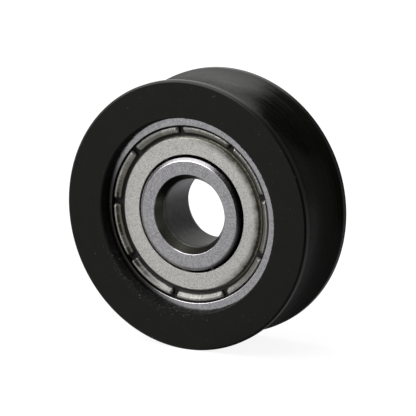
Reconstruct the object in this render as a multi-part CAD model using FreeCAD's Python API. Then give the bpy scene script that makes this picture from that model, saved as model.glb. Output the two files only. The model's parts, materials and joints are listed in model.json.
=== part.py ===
import FreeCAD, Part
import os

# U-groove pulley wheel: a plastic rim moulded around a shielded deep-groove ball bearing.
# Millimetres. The spin axis is +Y, the front face looks towards -Y, and the origin is the
# centre of the wheel.

# Bearing, outside
bearing_bore = 5.0
bearing_diameter = 16.0
bearing_width = 5.0
ring_chamfer = 0.3

# Bearing, balls and raceways
ball_diameter = 2.778
ball_count = 7
race_clearance = 0.01
race_openness = 1.04
race_depth = 0.34

# Inner ring, bore lead-in and face chamfer
bore_lead_height = 0.48
bore_lead_length = 0.85
face_chamfer_height = 0.33
face_chamfer_length = 0.25

# Shields and the seats that hold them in the outer ring
shield_sheet = 0.15
shield_recess = 0.27
shield_gap = 0.22
channel_depth = 0.2
channel_width = 0.1
channel_slope = 0.2
curl_height = 0.22
curl_width = 0.66
curl_gap = 0.08
foot_height = 0.12
seat_step = 0.3
seat_undercut = 0.06
slot_count = 9
slot_width = 0.35
first_slot_angle = 17.5

# Ribbon cage and its rivets
cage_sheet = 0.18
cage_clearance = 0.55
pocket_clearance = 0.04
rivet_shank_diameter = 0.5
rivet_head_diameter = 0.84
rivet_head_height = 0.18

# Plastic rim
tread_wall = 0.8
groove_depth = 1.2
land_width = 0.55
lip_thickness = 0.65
lip_overlap = 0.77
rim_bevel = 0.06
mouth_bevel = 0.08
lip_bevel = 0.08

# Sizes that follow from the driving dimensions
bore_radius = bearing_bore / 2
ring_radius = bearing_diameter / 2
half_bearing = bearing_width / 2
ball_radius = ball_diameter / 2
pitch_radius = (bore_radius + ring_radius) / 2
race_radius = ball_radius * race_openness
inner_race_centre = pitch_radius - ball_radius - race_clearance + race_radius
outer_race_centre = pitch_radius + ball_radius + race_clearance - race_radius
inner_shoulder = pitch_radius - ball_radius + race_depth
outer_shoulder = pitch_radius + ball_radius - race_depth

seat_depth = shield_recess + channel_depth + shield_sheet
seat_mouth = outer_shoulder + seat_step
seat_floor = seat_mouth + seat_undercut

lip_radius = ring_radius - lip_overlap
wheel_radius = ring_radius + tread_wall + groove_depth
half_wheel = half_bearing + lip_thickness
half_groove = half_wheel - land_width

origin = FreeCAD.Vector(0, 0, 0)
spin_axis = FreeCAD.Vector(0, 1, 0)
upright = FreeCAD.Vector(0, 0, 1)
full_turn = 360


def lines(points):
    """Straight edges through points given as distance from the axis and distance along it."""
    corners = [FreeCAD.Vector(radius, along, 0) for radius, along in points]
    return [Part.LineSegment(start, end).toShape() for start, end in zip(corners, corners[1:])]


def turned(edges, axis_point=origin):
    """Solid of revolution from the closed outline of one half of its section."""
    face = Part.Face(Part.Wire(edges))
    return face.revolve(axis_point, spin_axis, full_turn)


def closed(points):
    """Straight edges through the points and back to the first."""
    return lines(points + points[:1])


def mirrored(front_half):
    """Corners of the rear half of an outline that is the same at both ends."""
    return [(radius, -along) for radius, along in reversed(front_half)]


def around(shape, count, first_angle=0.0):
    """Copies of a shape, evenly spaced about the spin axis."""
    copies = []
    for index in range(count):
        copy = shape.copy()
        copy.rotate(origin, spin_axis, first_angle + index * full_turn / count)
        copies.append(copy)
    return copies


def groove_wheel():
    """Rim moulded around the outer ring, with a lip over each side and a round groove."""
    front_half = [
        (ring_radius, ring_chamfer - half_bearing),
        (ring_radius - ring_chamfer, -half_bearing),
        (lip_radius, -half_bearing),
        (lip_radius, lip_bevel - half_wheel),
        (lip_radius + lip_bevel, -half_wheel),
        (wheel_radius - rim_bevel, -half_wheel),
        (wheel_radius, rim_bevel - half_wheel),
        (wheel_radius, -half_groove - mouth_bevel),
        (wheel_radius - mouth_bevel, -half_groove),
    ]
    front_mouth = FreeCAD.Vector(wheel_radius - mouth_bevel, -half_groove, 0)
    rear_mouth = FreeCAD.Vector(wheel_radius - mouth_bevel, half_groove, 0)
    bottom = FreeCAD.Vector(wheel_radius - groove_depth, 0, 0)
    groove = Part.Arc(front_mouth, bottom, rear_mouth).toShape()
    return turned(lines(front_half) + [groove] + lines(mirrored(front_half) + front_half[:1]))


def outer_ring():
    """Outer ring: raceway inside, an undercut seat for a shield at each end."""
    front_half = [
        (outer_shoulder, seat_depth - half_bearing),
        (seat_floor, seat_depth - half_bearing),
        (seat_mouth, -half_bearing),
        (ring_radius - ring_chamfer, -half_bearing),
        (ring_radius, ring_chamfer - half_bearing),
    ]
    blank = turned(closed(front_half + mirrored(front_half)))
    return blank.cut(Part.makeTorus(outer_race_centre, race_radius, origin, spin_axis))


def inner_ring():
    """Inner ring: raceway outside, a long lead-in at each end of the bore."""
    front_half = [
        (bore_radius, bore_lead_length - half_bearing),
        (bore_radius + bore_lead_height, -half_bearing),
        (inner_shoulder - face_chamfer_height, -half_bearing),
        (inner_shoulder, face_chamfer_length - half_bearing),
    ]
    blank = turned(closed(front_half + mirrored(front_half)))
    return blank.cut(Part.makeTorus(inner_race_centre, race_radius, origin, spin_axis))


def front_shield():
    """Pressed shield: flat disc, sunk channel and a curled rim, slotted and crimped into its seat."""
    inside = inner_shoulder + shield_gap
    curl_outside = seat_mouth - curl_gap
    curl_inside = curl_outside - curl_width
    curl_middle = curl_outside - curl_width / 2
    channel_inside = curl_inside - channel_width
    flat_end = channel_inside - channel_slope
    flat = shield_recess - half_bearing
    channel = flat + channel_depth
    curl_top = channel - curl_height
    underside = seat_depth - half_bearing
    foot_top = underside - foot_height
    foot_radius = seat_floor - seat_undercut * foot_height / seat_depth
    disc_side = [
        (inside, flat),
        (flat_end, flat),
        (channel_inside, channel),
        (curl_inside, channel),
    ]
    seat_side = [
        (curl_outside, channel),
        (curl_outside, foot_top),
        (foot_radius, foot_top),
        (seat_floor, underside),
        (channel_inside - channel_slope / 2, underside),
        (flat_end - channel_slope / 2, flat + shield_sheet),
        (inside, flat + shield_sheet),
    ]
    curl_start = FreeCAD.Vector(curl_inside, channel, 0)
    curl_crest = FreeCAD.Vector(curl_middle, curl_top, 0)
    curl_end = FreeCAD.Vector(curl_outside, channel, 0)
    curl = Part.Arc(curl_start, curl_crest, curl_end).toShape()
    disc = turned(lines(disc_side) + [curl] + lines(seat_side + disc_side[:1]))
    slot_corner = FreeCAD.Vector(curl_inside, -half_bearing, -slot_width / 2)
    slot = Part.makeBox(ring_radius - curl_inside, foot_top + half_bearing, slot_width, slot_corner)
    return disc.cut(around(slot, slot_count, -first_slot_angle))


def rear_shield():
    """The same shield fitted from the rear: half a turn about the upright."""
    shield = front_shield()
    shield.rotate(origin, upright, full_turn / 2)
    return shield


def balls():
    """The balls, evenly spaced on the pitch circle."""
    ball = Part.makeSphere(ball_radius, FreeCAD.Vector(pitch_radius, 0, 0))
    return around(ball, ball_count)


def cage_band(height):
    """Round band as wide as the cage, from the middle plane towards the front."""
    base = FreeCAD.Vector(0, -height, 0)
    outside = Part.makeCylinder(outer_shoulder - cage_clearance, height, base, spin_axis)
    inside = Part.makeCylinder(inner_shoulder + cage_clearance, height, base, spin_axis)
    return outside.cut(inside)


def front_cage_half():
    """Pressed ribbon: flat at the rivets, bulged into a pocket round each ball."""
    centre = FreeCAD.Vector(pitch_radius, 0, 0)
    pocket_radius = ball_radius + pocket_clearance
    bulges = around(Part.makeSphere(pocket_radius + cage_sheet, centre), ball_count)
    pockets = around(Part.makeSphere(pocket_radius, centre), ball_count)
    ribbon = cage_band(cage_sheet).fuse([bulge.common(cage_band(ball_diameter)) for bulge in bulges])
    return ribbon.removeSplitter().cut(pockets).cut(rivets())


def rivets():
    """Rivets through both halves of the cage, halfway between the balls, with a low head at each end."""
    shank = rivet_shank_diameter / 2
    head = rivet_head_diameter / 2
    head_top = cage_sheet + rivet_head_height
    front_half = [
        (pitch_radius, -head_top),
        (pitch_radius + head, -head_top),
        (pitch_radius + head, -cage_sheet),
        (pitch_radius + shank, -cage_sheet),
    ]
    rivet_centre = FreeCAD.Vector(pitch_radius, 0, 0)
    rivet = turned(closed(front_half + mirrored(front_half)), rivet_centre)
    return around(rivet, ball_count, full_turn / ball_count / 2)


front_half_of_cage = front_cage_half()
nodes = {
    "groove_wheel": groove_wheel(),
    "outer_ring": outer_ring(),
    "inner_ring": inner_ring(),
    "shield_front": front_shield(),
    "shield_rear": rear_shield(),
    "cage_half_front": front_half_of_cage,
    "cage_half_rear": front_half_of_cage.mirror(origin, spin_axis),
    "cage_rivets": Part.makeCompound(rivets()),
}
for number, ball in enumerate(balls(), start=1):
    nodes["ball_" + str(number)] = ball

os.makedirs("parts", exist_ok=True)
for name, shape in nodes.items():
    shape.exportStep("parts/" + name + ".step")
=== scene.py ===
import json
import math
import bpy
import numpy as np
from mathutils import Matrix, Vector


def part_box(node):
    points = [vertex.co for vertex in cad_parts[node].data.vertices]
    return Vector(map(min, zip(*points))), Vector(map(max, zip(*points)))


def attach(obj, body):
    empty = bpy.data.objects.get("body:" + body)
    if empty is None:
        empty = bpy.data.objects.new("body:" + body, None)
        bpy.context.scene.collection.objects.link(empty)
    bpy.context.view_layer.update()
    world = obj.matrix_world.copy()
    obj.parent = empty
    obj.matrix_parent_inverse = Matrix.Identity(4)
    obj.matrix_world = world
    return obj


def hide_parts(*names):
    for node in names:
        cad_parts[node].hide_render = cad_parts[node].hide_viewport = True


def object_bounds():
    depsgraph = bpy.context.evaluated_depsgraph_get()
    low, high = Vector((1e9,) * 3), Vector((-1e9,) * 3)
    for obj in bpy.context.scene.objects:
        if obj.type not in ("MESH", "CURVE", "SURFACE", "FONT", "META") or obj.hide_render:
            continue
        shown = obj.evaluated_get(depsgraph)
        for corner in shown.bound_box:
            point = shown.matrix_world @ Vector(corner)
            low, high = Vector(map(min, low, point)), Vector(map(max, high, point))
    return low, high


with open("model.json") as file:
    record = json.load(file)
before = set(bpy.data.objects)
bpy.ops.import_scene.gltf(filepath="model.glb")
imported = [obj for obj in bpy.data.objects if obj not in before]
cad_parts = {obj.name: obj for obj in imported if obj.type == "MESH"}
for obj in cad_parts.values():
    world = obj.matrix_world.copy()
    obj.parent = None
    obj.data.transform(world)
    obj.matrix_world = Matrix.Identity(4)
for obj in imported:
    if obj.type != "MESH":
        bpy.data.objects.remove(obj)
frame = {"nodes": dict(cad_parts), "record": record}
cad_low, cad_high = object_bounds()


# Inner ring: the bearing's inner race, bearing steel, turned, hardened and ground.
# It is clamped on the axle by its two flat faces and stays still. The bore has a long
# lead-in at each end, and the balls roll in the round groove outside.
mm = 0.001
full_turn = 2 * math.pi
arc_steps = 8
guard_share = 0.1
mark_detail = 3
mark_roughness = 0.6
sharp_angle = math.radians(35)


def softened(corners):
    """Closed outline through corners given as radius, place along the axis and edge rounding."""
    outline = []
    for index, (radius, along, rounding) in enumerate(corners):
        corner = np.array((radius, along))
        if rounding == 0:
            outline.append(corner)
            continue
        back = np.array(corners[index - 1][:2]) - corner
        ahead = np.array(corners[(index + 1) % len(corners)][:2]) - corner
        back /= np.linalg.norm(back)
        ahead /= np.linalg.norm(ahead)
        half_angle = math.acos(back @ ahead) / 2
        reach = rounding / math.tan(half_angle)
        inward = (back + ahead) / np.linalg.norm(back + ahead)
        centre = corner + inward * rounding / math.sin(half_angle)
        swing = math.pi / 2 - half_angle
        sideways = (ahead - back) / np.linalg.norm(ahead - back)
        # A point just outside each rounding keeps the shading of the flats even.
        guard = rounding * guard_share
        outline.append(corner + back * (reach + guard))
        for step in range(arc_steps + 1):
            turn = swing * (2 * step / arc_steps - 1)
            outline.append(centre + rounding * (sideways * math.sin(turn) - inward * math.cos(turn)))
        outline.append(corner + ahead * (reach + guard))
    return np.array(outline)


def mirrored(front_half):
    """The rear half of an outline that is the same at both ends."""
    return [(radius, -along, rounding) for radius, along, rounding in reversed(front_half)]


def raceway(centre_radius, race_radius, edge_radius, outside):
    """Points of the round groove that the balls roll in, from front to rear."""
    half_angle = math.acos(abs(edge_radius - centre_radius) / race_radius)
    points = []
    for step in range(-arc_steps, arc_steps + 1):
        turn = half_angle * step / arc_steps
        radius = centre_radius + outside * race_radius * math.cos(turn)
        points.append((radius, race_radius * math.sin(turn), 0))
    return points


def all_round(steps):
    """Evenly spaced angles about the spin axis."""
    return np.linspace(0, full_turn, steps, endpoint=False)


def turned(name, section, angles):
    """A ring about the spin axis. section is its outline, or one outline for each angle."""
    outlines = np.broadcast_to(section, (len(angles),) + np.shape(section)[-2:])
    radius = outlines[..., 0]
    along = outlines[..., 1]
    turn = np.array(angles)[:, None]
    points = np.stack([radius * np.sin(turn), along, radius * np.cos(turn)], axis=-1)
    here = np.arange(radius.size).reshape(radius.shape)
    beside = np.roll(here, -1, axis=0)
    quads = np.stack([here, beside, np.roll(beside, -1, axis=1), np.roll(here, -1, axis=1)], axis=-1)
    mesh = bpy.data.meshes.new(name)
    mesh.from_pydata(points.reshape(-1, 3).tolist(), [], quads.reshape(-1, 4).tolist())
    mesh.shade_smooth()
    mesh.set_sharp_from_angle(angle=sharp_angle)
    piece = bpy.data.objects.new(name, mesh)
    bpy.context.scene.collection.objects.link(piece)
    return piece


class Wire:
    """One output of a shader's nodes. Sums and products of wires and numbers add Math nodes."""

    def __init__(self, tree, socket=None):
        self.tree = tree
        self.socket = socket

    def node(self, kind, settings, sockets, output=0):
        """Add a node: first its settings, then a value or a wire for each of its sockets."""
        added = self.tree.nodes.new("ShaderNode" + kind)
        for setting, value in settings.items():
            setattr(added, setting, value)
        for socket, value in sockets.items():
            if isinstance(value, Wire):
                self.tree.links.new(value.socket, added.inputs[socket])
            else:
                added.inputs[socket].default_value = value
        return Wire(self.tree, added.outputs[output] if added.outputs else None)

    def maths(self, operation, first, second):
        """Add a Math node."""
        return self.node("Math", {"operation": operation}, {0: first, 1: second})

    def __add__(self, other):
        return self.maths("ADD", self, other)

    def __radd__(self, other):
        return self.maths("ADD", other, self)

    def __sub__(self, other):
        return self.maths("SUBTRACT", self, other)

    def __rsub__(self, other):
        return self.maths("SUBTRACT", other, self)

    def __mul__(self, other):
        return self.maths("MULTIPLY", self, other)

    def __rmul__(self, other):
        return self.maths("MULTIPLY", other, self)


def new_finish(name):
    """A bare material, and the wire that gives a point's place on its piece in millimetres."""
    material = bpy.data.materials.new(name)
    material.use_nodes = True
    material.node_tree.nodes.clear()
    start = Wire(material.node_tree)
    place = start.node("TexCoord", {}, {}, "Object")
    return material, place.node("VectorMath", {"operation": "SCALE"}, {0: place, "Scale": 1 / mm})


def surface(settings):
    """Principled surface from its sockets, as the material's output."""
    wire = settings["Base Color"]
    shader = wire.node("BsdfPrincipled", {}, settings)
    wire.node("OutputMaterial", {}, {"Surface": shader})


def place_along(place, axis):
    """A point's place along one axis of its piece."""
    return place.node("SeparateXYZ", {}, {0: place}, axis)


def from_middle(place):
    """A point's distance from the middle plane of the wheel."""
    return place.maths("ABSOLUTE", place_along(place, "Y"), 0)


def around_axis(place):
    """Distance from the spin axis, and the direction from it, of a point on a turned piece."""
    across = place.node("VectorMath", {"operation": "MULTIPLY"}, {0: place, 1: (1, 0, 1)})
    radius = place.node("VectorMath", {"operation": "LENGTH"}, {0: across}, "Value")
    direction = place.node("VectorMath", {"operation": "NORMALIZE"}, {0: across})
    return radius, direction


def step_up(value, start, end):
    """0 below start, 1 above end and a smooth rise between them."""
    settings = {"interpolation_type": "SMOOTHSTEP"}
    return value.node("MapRange", settings, {"Value": value, "From Min": start, "From Max": end})


def past(length, start, end):
    """A rise from 0 to 1 along a length on the piece. start and end are in metres."""
    return step_up(length, start / mm, end / mm)


def facing(direction, towards):
    """How far a direction points towards another one, from -1 to 1."""
    return direction.node("VectorMath", {"operation": "DOT_PRODUCT"}, {0: direction, 1: towards}, "Value")


def on_side(direction, clock, start, end):
    """A rise from 0 to 1 towards one side of the wheel. clock is in degrees, clockwise from the top."""
    turn = math.radians(clock)
    return step_up(facing(direction, (math.sin(turn), 0, math.cos(turn))), start, end)


def turning_marks(place, fineness, drift):
    """Noise drawn out round the axis, as a lathe or a grinding wheel leaves it."""
    radius, direction = around_axis(place)
    along = place_along(place, "Y")
    slow = place.node("VectorMath", {"operation": "SCALE"}, {0: direction, "Scale": drift})
    fast = place.node("CombineXYZ", {}, {"Y": radius * fineness})
    spot = place.node("VectorMath", {"operation": "ADD"}, {0: slow, 1: fast})
    noise = {"Vector": spot, "W": along * fineness, "Scale": 1}
    noise.update({"Detail": mark_detail, "Roughness": mark_roughness})
    return place.node("TexNoise", {"noise_dimensions": "4D"}, noise)


def radial_marks(place, fineness):
    """Noise drawn out from the axis to the rim, as rubbing across an edge leaves it."""
    direction = around_axis(place)[1]
    noise = {"Vector": direction, "Scale": fineness}
    noise.update({"Detail": mark_detail, "Roughness": mark_roughness})
    return place.node("TexNoise", {}, noise)


def grain(place, fineness, detail):
    """Even noise, the same in all directions."""
    return place.node("TexNoise", {}, {"Vector": place, "Scale": fineness, "Detail": detail})


def between(share, low, high):
    """From one colour to another as the share goes from 0 to 1. A colour is three numbers or a wire."""
    first, last = [end if isinstance(end, Wire) else end + (1,) for end in (low, high)]
    return share.node("Mix", {"data_type": "RGBA"}, {0: share, 6: first, 7: last}, 2)


def bumped(height, depth):
    """Surface direction for a height between 0 and 1 that is depth metres tall."""
    return height.node("Bump", {}, {"Height": height, "Strength": 1, "Distance": depth})


ring_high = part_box("inner_ring")[1]
ball_low, ball_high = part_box("ball_1")
mounts = {mount["name"]: mount for mount in frame["record"]["mounts"]}
bore_radius = mounts["bore"]["dims"]["r_mm"] * mm
half_bearing = ring_high.y
inner_shoulder = ring_high.x
ball_radius = (ball_high.y - ball_low.y) / 2
pitch_radius = (ball_high.x + ball_low.x) / 2
race_openness = 1.04
race_radius = ball_radius * race_openness
race_clearance = 0.01 * mm
lead_height = 0.48 * mm
lead_length = 0.85 * mm
lead_rounding = 0.2 * mm
chamfer_height = 0.25 * mm
chamfer_length = 0.18 * mm
chamfer_rounding = 0.08 * mm
edge_rounding = 0.05 * mm
ring_steps = 360

lead_radius = bore_radius + lead_height
chamfer_start = inner_shoulder - chamfer_height
inner_half = [
    (bore_radius, lead_length - half_bearing, lead_rounding),
    (lead_radius, -half_bearing, edge_rounding),
    (chamfer_start, -half_bearing, chamfer_rounding),
    (inner_shoulder, chamfer_length - half_bearing, edge_rounding),
]
inner_race_centre = pitch_radius - ball_radius - race_clearance + race_radius
inner_track = raceway(inner_race_centre, race_radius, inner_shoulder, -1)
inner_outline = softened(inner_half + inner_track + mirrored(inner_half))
ring_angles = all_round(ring_steps)
inner_ring = turned("inner_ring_ground", inner_outline, ring_angles)

dull_steel = (0.48, 0.47, 0.495)
bright_steel = (0.73, 0.715, 0.745)
chamfer_dimming_grey = (0.1, 0.094, 0.097)
chamfer_shade_colour = (0.014, 0.01, 0.008)
bore_dark = (0.045, 0.05, 0.036)
bore_light = (0.7, 0.68, 0.72)
dark_lead = (0.04, 0.042, 0.032)
lead_painted_light = (0.38, 0.38, 0.32)
lip_shade_colour = (0.032, 0.029, 0.022)
lip_shade_start = pitch_radius + 1.3 * mm
lip_shade_end = pitch_radius + 1.45 * mm
grinding_depth = 0.002 * mm

# Ground faces: fine lines round the axis, speckle and a few marks across.
ground_steel, place = new_finish("ground_steel")
radius, direction = around_axis(place)
lines = turning_marks(place, fineness=14, drift=5)
speckle = grain(place, fineness=9, detail=4)
cross_marks = radial_marks(place, fineness=18)
marks = step_up(0.25 * lines + 0.5 * speckle + 0.25 * cross_marks, 0.36, 0.64)
ground = between(marks, dull_steel, bright_steel)

# Chamfer: painted shade, a little all round and more at the top, which dims its highlight, and painted
# shade on the right, darker outward.
off_face = 1 - past(from_middle(place), half_bearing - 0.05 * mm, half_bearing - 0.01 * mm)
on_chamfer = off_face * past(radius, chamfer_start, chamfer_start + 0.05 * mm)
dimmed_top = on_side(direction, clock=5, start=0.2, end=0.9)
top_dimmed = between(on_chamfer * (0.1 + 0.6 * dimmed_top), ground, chamfer_dimming_grey)
# Painted shade on the right of the chamfer, darker outward.
on_inner = 1 - past(radius, pitch_radius, pitch_radius + 0.2 * mm)
chamfer_shade_side = on_inner * on_side(direction, clock=105, start=0.35, end=0.8)
outward = past(radius, chamfer_start, inner_shoulder - 0.06 * mm)
with_chamfer_shade = between(0.92 * on_chamfer * chamfer_shade_side * outward, top_dimmed, chamfer_shade_colour)

# Bore and lead-in: the bore is dark and streaked, lighter towards the top and darkest at the foot. The
# lead-in has painted light at its foot.
in_bore = 1 - past(radius, bore_radius, bore_radius + 0.12 * mm)
in_lead = 1 - past(radius, lead_radius - 0.05 * mm, lead_radius)
blotches = grain(place, fineness=1.8, detail=5)
lighter_top = on_side(direction, clock=-15, start=0.3, end=1)
darker_foot = on_side(direction, clock=175, start=0.7, end=0.96)
bore_streaks = 0.08 + 0.14 * step_up(0.4 * blotches + 0.6 * lines, 0.35, 0.65)
bore_lightness = 0.7 * lighter_top + (1 - darker_foot) * bore_streaks
with_bore = between(0.9 * in_bore, with_chamfer_shade, between(bore_lightness, bore_dark, bore_light))
# Painted light: the lead-in is lighter at its foot.
lit_lead = on_side(direction, clock=195, start=0.2, end=0.8)
lead_colour = between(lit_lead, dark_lead, lead_painted_light)
with_lead = between(0.95 * (in_lead - in_bore), with_bore, lead_colour)

# Painted shade beside the lip, at the lower left of the outer ring's face, which has the same finish.
lip_shade_side = on_side(direction, clock=-112, start=0.4, end=0.85)
lip_shade = lip_shade_side * past(radius + 0.2 * blotches, lip_shade_start, lip_shade_end)
surface({
    "Base Color": between(0.93 * lip_shade, with_lead, lip_shade_colour),
    "Metallic": 1,
    "Roughness": 0.13 + 0.14 * speckle + 0.02 * off_face + 0.06 * on_chamfer + 0.3 * in_bore,
    "Normal": bumped(lines, grinding_depth),
})
inner_ring.data.materials.append(ground_steel)
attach(inner_ring, "inner_ring")
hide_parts("inner_ring")


# Balls: seven bearing balls, chromium steel, lapped smooth. They are dark with a film of grease and with
# painted shade for the shut-in inside of the bearing.
# They run in the raceways and are spaced by the cage, so each one keeps its own node.
ball_count = 7
ball_dark = (0.03, 0.028, 0.022)
ball_light = (0.06, 0.058, 0.05)

ball_steel, place = new_finish("ball_steel")
haze = grain(place, fineness=3, detail=3)
surface({
    "Base Color": between(haze, ball_dark, ball_light),
    "Metallic": 1,
    "Roughness": 0.12 + 0.2 * haze,
})
for number in range(1, ball_count + 1):
    frame["nodes"]["ball_" + str(number)].data.materials[0] = ball_steel


# Cage: two ribbons of cold-rolled strip, pressed into pockets round the balls.
# Seven small rivets hold the halves together between the balls. All of it is dark with grease and with
# painted shade for the shut-in inside of the bearing.
strip_dark = (0.008, 0.007, 0.005)
strip_light = (0.025, 0.023, 0.017)
rolling_depth = 0.004 * mm

cage_steel, place = new_finish("cage_steel")
rolled = grain(place, fineness=9, detail=4)
surface({
    "Base Color": between(rolled, strip_dark, strip_light),
    "Metallic": 1,
    "Roughness": 0.35 + 0.2 * rolled,
    "Normal": bumped(rolled, rolling_depth),
})
for node in ("cage_half_front", "cage_half_rear", "cage_rivets"):
    frame["nodes"][node].data.materials[0] = cage_steel


# Outer ring: the bearing's outer race, the same ground steel as the inner one.
# An undercut seat at each end takes a shield, and the plastic wheel is moulded round it.
ring_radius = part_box("outer_ring")[1].x
ring_chamfer = 0.3 * mm
race_depth = 0.34 * mm
shield_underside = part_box("shield_front")[1].y
seat_depth = shield_underside + half_bearing
seat_step = 0.3 * mm
seat_undercut = 0.06 * mm
shoulder_rounding = 0.03 * mm
seat_rounding = 0.02 * mm

outer_shoulder = pitch_radius + ball_radius - race_depth
seat_mouth = outer_shoulder + seat_step
seat_floor = seat_mouth + seat_undercut
outer_half = [
    (outer_shoulder, seat_depth - half_bearing, shoulder_rounding),
    (seat_floor, seat_depth - half_bearing, seat_rounding),
    (seat_mouth, -half_bearing, edge_rounding),
    (ring_radius - ring_chamfer, -half_bearing, edge_rounding),
    (ring_radius, ring_chamfer - half_bearing, edge_rounding),
]
outer_race_centre = pitch_radius + ball_radius + race_clearance - race_radius
outer_track = raceway(outer_race_centre, race_radius, outer_shoulder, 1)
outer_outline = softened(outer_half + mirrored(outer_half) + outer_track[::-1])
outer_ring = turned("outer_ring_ground", outer_outline, ring_angles)
outer_ring.data.materials.append(ground_steel)
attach(outer_ring, "wheel")
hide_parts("outer_ring")


# Shields: a thin steel pressing closes each side of the bearing.
# Its curled rim is cut by nine slots, so that it springs into the seat of the outer ring
# and is crimped there. Its inner edge runs clear of the inner ring.
shield_sheet = 0.15 * mm
shield_gap = 0.19 * mm
shield_recess = 0.27 * mm
channel_depth = 0.2 * mm
channel_width = 0.1 * mm
channel_slope = 0.15 * mm
curl_width = 0.58 * mm
curl_gap = 0.13 * mm
crest_width = 0.2 * mm
crest_recess = 0.06 * mm
foot_height = 0.12 * mm
cut_rounding = 0.04 * mm
bend_rounding = 0.06 * mm
channel_rounding = 0.05 * mm
crest_rounding = 0.13 * mm
curl_rounding = 0.08 * mm
underside_rounding = 0.1 * mm
slot_count = 9
slot_width = 0.35 * mm
slot_wall = 0.004 * mm
first_slot = math.radians(72.5)
tab_end = 0.2 * mm
tab_end_pinch = 0.6
tab_end_shares = (0, 0.04, 0.12, 0.25, 0.45, 0.7, 1)
tab_steps = 36

shield_inside = inner_shoulder + shield_gap
flat_top = shield_recess - half_bearing
flat_underside = flat_top + shield_sheet
channel_top = flat_top + channel_depth
curl_top = crest_recess - half_bearing
foot_top = shield_underside - foot_height
foot_radius = seat_floor - seat_undercut * foot_height / seat_depth
curl_outside = seat_mouth - curl_gap
curl_inside = curl_outside - curl_width
curl_middle = (curl_inside + curl_outside) / 2
crest_inside = curl_outside - crest_width
channel_inside = curl_inside - channel_width
flat_end = channel_inside - channel_slope
shield_outline = softened([
    (shield_inside, flat_top, cut_rounding),
    (flat_end, flat_top, bend_rounding),
    (channel_inside, channel_top, channel_rounding),
    (curl_inside, channel_top, bend_rounding),
    (crest_inside, curl_top, crest_rounding),
    (curl_outside, curl_top, curl_rounding),
    (curl_outside, foot_top, 0),
    (foot_radius, foot_top, 0),
    (seat_floor, shield_underside, 0),
    (channel_inside - channel_slope / 2, shield_underside, underside_rounding),
    (flat_end - channel_slope / 2, flat_underside, underside_rounding),
    (shield_inside, flat_underside, cut_rounding),
])
on_rim = (shield_outline[:, 1] < foot_top) & (shield_outline[:, 0] > curl_inside - 0.01 * mm)
tab_pitch = full_turn / slot_count
end_places = [slot_width / 2]
end_places += [slot_width / 2 + slot_wall + tab_end * share for share in tab_end_shares]
end_turns = [end / curl_middle for end in end_places]
plain_turns = np.linspace(end_turns[-1], tab_pitch - end_turns[-1], tab_steps)[1:-1]
one_tab = end_turns + list(plain_turns) + [tab_pitch - turn for turn in reversed(end_turns)]
shield_angles = [first_slot + tab_pitch * tab + turn for tab in range(slot_count) for turn in one_tab]
shield_sections = []
for angle in shield_angles:
    turn = (angle - first_slot) % tab_pitch
    into_tab = min(turn, tab_pitch - turn) * curl_middle - slot_width / 2 - slot_wall / 2
    share = min(1, max(0, into_tab) / tab_end)
    fullness = math.sqrt(1 - (1 - share) ** 2)
    pinch = tab_end_pinch + (1 - tab_end_pinch) * fullness
    section = shield_outline.copy()
    section[on_rim, 1] = foot_top + (section[on_rim, 1] - foot_top) * fullness
    section[on_rim, 0] = curl_outside + (section[on_rim, 0] - curl_outside) * pinch
    shield_sections.append(section)
front_shield = turned("shield_front_pressed", np.array(shield_sections), shield_angles)
rear_shield = bpy.data.objects.new("shield_rear_pressed", front_shield.data)
rear_shield.rotation_euler.z = math.pi
bpy.context.scene.collection.objects.link(rear_shield)

sheet_dark = (0.46, 0.455, 0.432)
sheet_light = (0.87, 0.863, 0.823)
pit_colour = (0.14, 0.14, 0.125)
brown_grease_and_shade = (0.03, 0.024, 0.014)
black_grease_and_shade = (0.004, 0.004, 0.0035)
bend_shade_colour = (0.06, 0.054, 0.035)
olive_film = (0.4, 0.36, 0.2)
clot_dark = (0.03, 0.028, 0.018)
clot_light = (0.34, 0.32, 0.215)
cut_colour = (0.07, 0.068, 0.052)
full_grease_and_shade = 0.95
bend_shade_reach = 0.45 * mm
sunk_start = curl_top + 0.25 * mm
sunk_end = curl_top + 0.34 * mm
peel_depth = 0.012 * mm

# Bare sheet: a fine orange-peel grain with small pits.
shield_steel, place = new_finish("shield_steel")
radius, direction = around_axis(place)
peel = grain(place, fineness=7, detail=5)
fine = grain(place, fineness=13, detail=3)
smear = grain(place, fineness=1.6, detail=5)
ribs = radial_marks(place, fineness=60)
pits = step_up(grain(place, fineness=10, detail=2), 0.6, 0.68)
sheet_grain = step_up(0.3 * peel + 0.7 * fine, 0.3, 0.7)
pitted = between(0.45 * pits, between(sheet_grain, sheet_dark, sheet_light), pit_colour)

# The shield's sides and bends: painted shade on the right by the bend, and brown at the lower left.
right_side = on_side(direction, clock=80, start=0.05, end=0.7)
brown_side = on_side(direction, clock=-112, start=0.6, end=0.95)
at_foot = on_side(direction, clock=185, start=0.3, end=0.8)
on_slope = past(radius + 0.1 * smear, flat_end + 0.03 * mm, flat_end + 0.09 * mm)
slope_end = radius + 0.1 * smear - 0.08 * right_side
past_slope = past(slope_end, channel_inside - 0.03 * mm, channel_inside + 0.03 * mm)
slope_foot = past(radius, channel_inside - 0.07 * mm, channel_inside - 0.03 * mm)
on_curl = past(radius, curl_inside - 0.03 * mm, curl_inside + 0.02 * mm)
sunk = past(place_along(place, "Y") + 0.1 * smear, sunk_start, sunk_end)
up_crest = past(radius + 0.06 * smear, crest_inside - 0.16 * mm, crest_inside - 0.08 * mm)
below_crest = up_crest * (1 - past(radius, crest_inside - 0.02 * mm, crest_inside + 0.06 * mm))
inner_crest = 1 - past(radius + 0.05 * smear, crest_inside + 0.06 * mm, crest_inside + 0.15 * mm)
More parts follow.
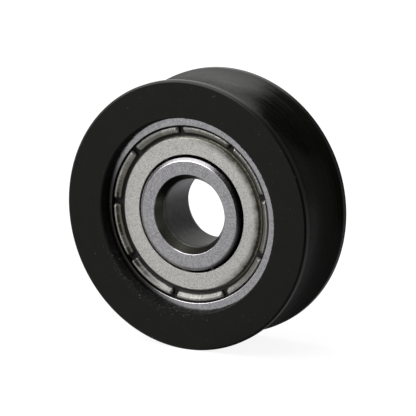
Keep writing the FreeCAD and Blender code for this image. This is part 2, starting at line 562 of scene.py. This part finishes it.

# Grease and painted shade: black in the channel and the slots, grease and painted shade for these deep
# recesses, and a thin film of grease on the tabs.
clock_angle = place.maths("ARCTAN2", place_along(place, "X"), place_along(place, "Z"))
tabs_along = clock_angle * (1 / tab_pitch) - first_slot / tab_pitch
# Painted shade: the tab ends by the slots are darkened, which takes away the lamp's highlight on them.
by_slot = 1 - step_up(place.maths("PINGPONG", tabs_along, 0.5) + 0.02 * smear, 0.045, 0.07)
patchy = step_up(0.6 * grain(place, fineness=0.7, detail=2) + 0.2 * ribs + 0.2 * smear, 0.42, 0.58)
even_film = 0.14 + 0.2 * patchy + 0.2 * step_up(0.5 * ribs + 0.5 * fine, 0.4, 0.6)
# Painted shade: the film is thicker at the foot, which dims the lamp's highlight on the lower tabs.
tab_film_and_foot_shade = even_film + brown_side * below_crest * (0.4 + 0.25 * patchy) + 0.16 * at_foot
film_and_shade = tab_film_and_foot_shade + (full_grease_and_shade - tab_film_and_foot_shade) * 0.75 * right_side * inner_crest
on_tab = on_curl * (1 - sunk)
# The deep parts, the channel past the slope and the slots, are black: grease and painted shade.
grease_and_shade = 0.98 * past_slope * sunk + on_tab * (film_and_shade + by_slot * (full_grease_and_shade - film_and_shade))
greased_and_shaded = between(grease_and_shade, pitted, between(sunk, brown_grease_and_shade, black_grease_and_shade))

# Painted shade on the flat by the bend on the right, with an olive edge on the tabs and clots of old
# grease on the slope.
ragged = step_up(0.5 * smear + 0.5 * peel, 0.4, 0.6)
by_bend = past(radius + 0.15 * smear, flat_end - bend_shade_reach, flat_end + 0.1 * mm)
bend_shade = right_side * (0.65 + 0.32 * ragged) * by_bend * (1 - past_slope)
olive_edge = 0.5 * on_tab * (1 - up_crest) * (1 - at_foot)
bend_shade_and_olive = between(olive_edge, between(bend_shade, greased_and_shaded, bend_shade_colour), olive_film)
wiped = 1 - 0.85 * right_side * (1 - slope_foot)
lumps = step_up(0.6 * smear + 0.4 * peel, 0.42, 0.6)
old_grease = wiped * on_slope * (1 - past_slope) * (0.6 + 0.4 * lumps)
clots = step_up(0.4 * smear + 0.6 * peel, 0.42, 0.58)
stained = between(0.95 * old_grease, bend_shade_and_olive, between(clots, clot_dark, clot_light))

cut_edge = 1 - past(radius, shield_inside + 0.005 * mm, shield_inside + 0.03 * mm)
surface({
    "Base Color": between(0.9 * cut_edge, stained, cut_colour),
    "Metallic": 1 - 0.5 * grease_and_shade - 0.8 * old_grease - cut_edge,
    "Roughness": 0.4 + 0.15 * peel,
    "Normal": bumped(peel - 0.5 * pits + 0.3 * on_curl * ribs, peel_depth),
})
front_shield.data.materials.append(shield_steel)
for shield, node in ((front_shield, "shield_front"), (rear_shield, "shield_rear")):
    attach(shield, "wheel")
    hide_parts(node)


# Wheel: the rim that a cord or a rail runs in, black engineering plastic.
# It is moulded round the outer ring in one shot. A lip each side laps over the ring and
# holds it, with a little flash along its edge, and the U groove runs round the outside.
wheel_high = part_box("groove_wheel")[1]
wheel_radius = wheel_high.x
half_wheel = wheel_high.y
lip_overlap = 0.77 * mm
lip_draft = 0.08 * mm
lip_rounding = 0.1 * mm
lip_off_centre = 0.13 * mm
off_centre_towards = math.radians(80)
land_width = 0.55 * mm
groove_depth = 1.2 * mm
groove_steps = 24
mouth_rounding = 0.09 * mm
rim_chamfer_height = 0.15 * mm
rim_chamfer_length = 0.08 * mm
rim_face_rounding = 0.1 * mm
rim_edge_rounding = 0.06 * mm
flash_height = 0.05 * mm
flash_seed = 5
flash_waves = (3, 7, 16, 29, 47, 71, 102, 140)
flash_crest = 4
wheel_steps = 720

lip_radius = ring_radius - lip_overlap
half_groove = half_wheel - land_width
groove_radius = (half_groove ** 2 + groove_depth ** 2) / (2 * groove_depth)
groove_centre = wheel_radius - groove_depth + groove_radius
mouth_turn = math.asin(half_groove / groove_radius)
groove = []
for step in range(1 - groove_steps, groove_steps):
    turn = mouth_turn * step / groove_steps
    groove.append((groove_centre - groove_radius * math.cos(turn), groove_radius * math.sin(turn), 0))
wheel_half = [
    (ring_radius, ring_chamfer - half_bearing, 0),
    (ring_radius - ring_chamfer, -half_bearing, 0),
    (lip_radius - lip_draft, -half_bearing, 0),
    (lip_radius, -half_wheel, lip_rounding),
    (wheel_radius - rim_chamfer_height, -half_wheel, rim_face_rounding),
    (wheel_radius, rim_chamfer_length - half_wheel, rim_edge_rounding),
    (wheel_radius, -half_groove, mouth_rounding),
]
wheel_outline = softened(wheel_half + groove + mirrored(wheel_half))
wheel_angles = all_round(wheel_steps)
chance = np.random.default_rng(flash_seed)
ripple = np.zeros(wheel_steps)
for waves in flash_waves:
    ripple += chance.uniform(0.4, 1) * np.sin(waves * wheel_angles + chance.uniform(0, full_turn))
flash = flash_height * np.clip(ripple / flash_crest, 0, 1)
shift = lip_off_centre * np.cos(wheel_angles - off_centre_towards)
wheel_sections = np.repeat(wheel_outline[None], wheel_steps, axis=0)
on_lip = wheel_outline[:, 0] < lip_radius
wheel_sections[:, on_lip, 0] -= flash[:, None]
by_lip = wheel_outline[:, 0] < lip_radius + 2 * lip_rounding
wheel_sections[:, by_lip, 0] += shift[:, None]
wheel = turned("groove_wheel_moulded", wheel_sections, wheel_angles)

skin_dark = (0.0022, 0.0023, 0.0014)
skin_light = (0.0042, 0.0043, 0.003)
lip_wall_shade = (0, 0, 0)
dust_grey = (0.12, 0.12, 0.12)
skin_depth = 0.01 * mm
dust_start = 0.2 * mm
dust_reach = 0.6 * mm

# Moulded skin: mottled satin black, wet and streaked in the groove, rough on the lip's wall and darker
# there with painted shade.
black_plastic, place = new_finish("black_plastic")
radius, direction = around_axis(place)
mottle = grain(place, fineness=1.2, detail=4)
skin = grain(place, fineness=22, detail=3)
in_groove = 1 - past(from_middle(place), half_groove - 0.1 * mm, half_groove)
streaks = step_up(turning_marks(place, fineness=9, drift=2), 0.36, 0.64)
lip_wall = 1 - past(radius, lip_radius + 0.02 * mm, lip_radius + 0.1 * mm)
moulded_with_lip_shade = between(0.8 * lip_wall, between(mottle, skin_dark, skin_light), lip_wall_shade)

# Dust and scuffs: specks along the lower left of the lip, scuffs on its right, a few strays on the face.
near_lip = 1 - past(radius, lip_radius + dust_start, lip_radius + dust_reach)
dusty_side = on_side(direction, clock=-155, start=0.5, end=0.95)
specks = dusty_side * step_up(grain(place, fineness=9, detail=2), 0.63, 0.69)
scuffed_side = on_side(direction, clock=85, start=0.6, end=0.9)
scuffs = scuffed_side * step_up(radial_marks(place, fineness=70), 0.54, 0.64)
strays = (1 - in_groove) * step_up(grain(place, fineness=4, detail=1), 0.755, 0.79)
dust = near_lip * (0.8 * specks + 0.08 * scuffs) + 0.3 * strays
surface({
    "Base Color": between(dust, moulded_with_lip_shade, dust_grey),
    "Roughness": 0.26 + 0.1 * mottle + in_groove * (0.15 * streaks - 0.14) + 0.6 * lip_wall,
    "Specular IOR Level": 0.28,
    "Normal": bumped(0.4 * skin + 0.6 * in_groove * streaks, skin_depth),
})
wheel.data.materials.append(black_plastic)
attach(wheel, "wheel")
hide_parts("groove_wheel")


# Floor: a plain white sheet that the wheel stands on.
# It shows as white to the camera and in the steel, and keeps the wheel's soft shadow.
floor_half = 1.5
floor_height = cad_low.z
floor_grey = (0.16, 0.16, 0.16, 1)
floor_glow = 0.9
floor_sides = ((-1, -1), (1, -1), (1, 1), (-1, 1))
floor_mesh = bpy.data.meshes.new("floor")
floor_corners = [(x * floor_half, y * floor_half, floor_height) for x, y in floor_sides]
floor_mesh.from_pydata(floor_corners, [], [(0, 1, 2, 3)])
floor = bpy.data.objects.new("floor", floor_mesh)
bpy.context.scene.collection.objects.link(floor)


def seen_directly(start):
    """1 for a ray that comes from the camera, a mirror or glass, and 0 for scattered light."""
    seen = start.node("LightPath", {}, {}, "Is Camera Ray")
    mirrored_ray = start.node("LightPath", {}, {}, "Is Glossy Ray")
    through_glass = start.node("LightPath", {}, {}, "Is Transmission Ray")
    return start.node("Clamp", {}, {"Value": seen + mirrored_ray + through_glass})


floor_white = bpy.data.materials.new("floor_white")
floor_white.use_nodes = True
floor_white.node_tree.nodes.clear()
start = Wire(floor_white.node_tree)
paper = start.node("BsdfDiffuse", {}, {"Color": floor_grey})
glow = start.node("Emission", {}, {"Color": floor_glow * seen_directly(start)})
both = start.node("AddShader", {}, {0: paper, 1: glow})
start.node("OutputMaterial", {}, {"Surface": both})
floor_mesh.materials.append(floor_white)


# Light: one large soft lamp above, to the left and in front, and an even white room.
# The room is white where it is seen, and lights the wheel at a lower level.
room_level = 0.45
lamp_azimuth = math.radians(-50)
lamp_elevation = math.radians(57)
lamp_distance = 0.5
lamp_size = 0.75
lamp_power = 4.6

room = bpy.data.worlds.new("room")
room.use_nodes = True
room.node_tree.nodes.clear()
start = Wire(room.node_tree)
level = room_level + (1 - room_level) * seen_directly(start)
walls = start.node("Background", {}, {"Color": level})
start.node("OutputWorld", {}, {"Surface": walls})
bpy.context.scene.world = room

soft_lamp = bpy.data.lights.new("soft_lamp", "AREA")
soft_lamp.size = lamp_size
soft_lamp.energy = lamp_power
lamp_stand = bpy.data.objects.new("soft_lamp", soft_lamp)
lamp_stand.rotation_euler = (math.pi / 2 - lamp_elevation, 0, lamp_azimuth)
lamp_stand.location = lamp_stand.rotation_euler.to_matrix() @ Vector((0, 0, lamp_distance))
bpy.context.scene.collection.objects.link(lamp_stand)


# Cards: a grey card over the floor, and a dark one round the right side and above, beyond the picture.
# Steel and black plastic show what stands round them, so the cards give them their dark side.
# Only mirror reflections see the cards: they shade nothing and light nothing.
card_height = floor_height + 0.02 * mm
card_reach = 300 * mm
wall_reach = 90 * mm
wall_top = 110 * mm
canopy_top = 200 * mm
canopy_reach = 15 * mm
card_steps = 48
dark_steps = 24
card_rings = (
    (0, card_height, 0),
    (card_reach, card_height, card_steps),
    (wall_reach, card_height, 0),
    (wall_reach, wall_top, dark_steps),
    (canopy_reach, canopy_top, dark_steps),
)
card_points = []
card_faces = []
for ring, (reach, ring_height, joined_steps) in enumerate(card_rings):
    for step in range(card_steps):
        turn = full_turn * step / card_steps
        card_points.append((math.sin(turn) * reach, -math.cos(turn) * reach, ring_height))
        if step < joined_steps:
            here = ring * card_steps + step
            beside = ring * card_steps + (step + 1) % card_steps
            card_faces.append((here, beside, beside - card_steps, here - card_steps))
card_mesh = bpy.data.meshes.new("cards")
card_mesh.from_pydata(card_points, [], card_faces)
cards = bpy.data.objects.new("cards", card_mesh)
cards.visible_camera = False
cards.visible_diffuse = False
cards.visible_shadow = False
cards.visible_transmission = False
bpy.context.scene.collection.objects.link(cards)

card_dim = (0.18, 0.18, 0.18)
card_lit = (0.44, 0.44, 0.44)
card_dark = (0.015, 0.014, 0.012)
lit_foot = -9 * mm
shade_start = 12 * mm
shade_end = 28 * mm
canopy_start = 40 * mm
canopy_end = 65 * mm


def over_floor(direction, compass, start, end):
    """A rise from 0 to 1 towards one side of the floor. compass is in degrees, from front to right."""
    turn = math.radians(compass)
    return step_up(facing(direction, (math.sin(turn), -math.cos(turn), 0)), start, end)


card_grey, place = new_finish("card_grey")
floor_place = place.node("VectorMath", {"operation": "MULTIPLY"}, {0: place, 1: (1, 1, 0)})
direction = place.node("VectorMath", {"operation": "NORMALIZE"}, {0: floor_place})
distance = place.node("VectorMath", {"operation": "LENGTH"}, {0: floor_place}, "Value")
height = place_along(place, "Z")
lit_left = over_floor(direction, compass=-60, start=-0.3, end=0.5)
lit_behind = over_floor(direction, compass=170, start=0.4, end=0.9) * (1 - past(height, lit_foot, 0))
dark_right = over_floor(direction, compass=40, start=0.75, end=0.9)
dark_side = dark_right * past(distance + height, shade_start, shade_end)
dark_above = past(height, canopy_start, canopy_end)
dark_share = dark_side + dark_above - dark_side * dark_above
card_light = between(lit_left + 0.5 * lit_behind, card_dim, card_lit)
card_colour = between(dark_share, card_light, card_dark)
glow = place.node("Emission", {}, {"Color": card_colour})
place.node("OutputMaterial", {}, {"Surface": glow})
card_mesh.materials.append(card_grey)


# Camera: a long lens in front of the wheel, to its right and a little above it.
# It looks almost at the wheel's centre.
camera_azimuth = math.radians(30.003)
camera_elevation = math.radians(13.06)
camera_distance = 233.1 * mm
aim_right = 0.128 * mm
camera_lens = bpy.data.cameras.new("camera")
camera_lens.lens = 274.9
camera_lens.sensor_width = 36
camera_lens.clip_start = 0.01
camera_lens.clip_end = 10
camera = bpy.data.objects.new("camera", camera_lens)
camera.rotation_euler = (math.pi / 2 - camera_elevation, 0, camera_azimuth)
camera.location = camera.rotation_euler.to_matrix() @ Vector((aim_right, 0, camera_distance))
bpy.context.scene.collection.objects.link(camera)
bpy.context.scene.camera = camera
bpy.context.scene.view_settings.view_transform = "Standard"
